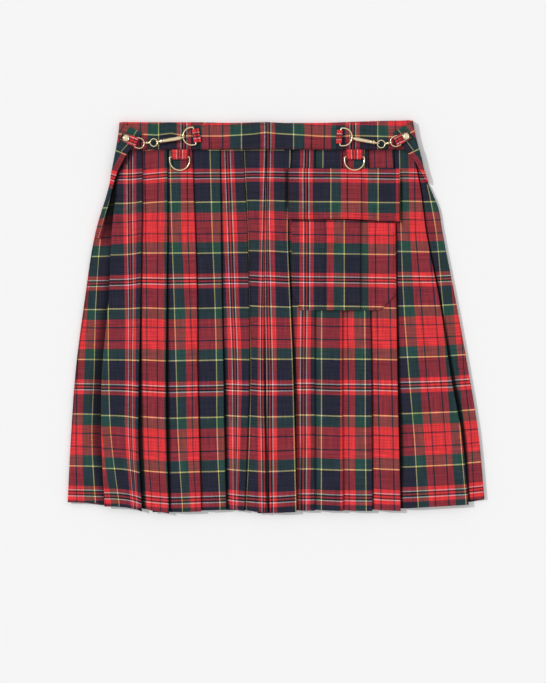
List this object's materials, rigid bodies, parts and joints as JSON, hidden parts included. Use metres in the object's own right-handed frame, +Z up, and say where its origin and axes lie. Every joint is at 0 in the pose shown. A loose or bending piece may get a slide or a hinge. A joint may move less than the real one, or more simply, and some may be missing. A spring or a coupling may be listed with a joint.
{
  "type": "pleated tartan skirt",
  "caption": "Knife-pleated tartan skirt laid flat, with a flapped cargo pocket, waist tabs holding D-rings, and a snap-hook clasp at each side of the waistband.",
  "frame": {"origin": "on the surface that the skirt lies on, below the middle of its outline's bounding box", "axes": "+X across the skirt towards the side with the pocket, +Y from the hem towards the waistband, +Z up from the surface, out of the skirt's front"},
  "size_m": [0.522, 0.4916, 0.0161],
  "materials": {
    "tartan_cloth": "matt woven twill",
    "tartan_trim": "matt woven twill",
    "brass": "polished pale gold"
  },
  "bodies": {
    "skirt": {"front_panel": "tartan_cloth", "back_panel": "tartan_cloth", "waistband_back": "tartan_cloth", "waistband_front_left": "tartan_cloth", "waistband_front_centre": "tartan_cloth", "waistband_front_right": "tartan_cloth", "waistband_side_left": "tartan_cloth", "waistband_side_right": "tartan_cloth", "side_fold_left": "tartan_cloth", "side_fold_right": "tartan_cloth", "pocket_bag": "tartan_cloth", "pocket_flap": "tartan_cloth", "hanging_tab_left": "tartan_trim", "hanging_tab_right": "tartan_trim", "clasp_tab_left": "tartan_trim", "clasp_tab_right": "tartan_trim", "strap_left": "tartan_trim", "strap_right": "tartan_trim", "stud_left": "brass", "stud_right": "brass", "clasp_ring_left": "brass", "clasp_ring_right": "brass", "strap_ring_left": "brass", "strap_ring_right": "brass", "snap_hook_left": "brass", "snap_hook_right": "brass", "swivel_eye_left": "brass", "swivel_eye_right": "brass"},
    "ring_left": {"hanging_ring_left": "brass"},
    "ring_right": {"hanging_ring_right": "brass"}
  },
  "joints": [
    {"name": "ring_left_hinge", "type": "hinge", "parent": "skirt", "child": "ring_left", "pos_m": [-0.1203, 0.1993, 0.01117], "axis": [-1, 0, 0], "range_deg": [0, 150]},
    {"name": "ring_right_hinge", "type": "hinge", "parent": "skirt", "child": "ring_right", "pos_m": [0.0979, 0.1993, 0.01117], "axis": [-1, 0, 0], "range_deg": [0, 150]}
  ]
}
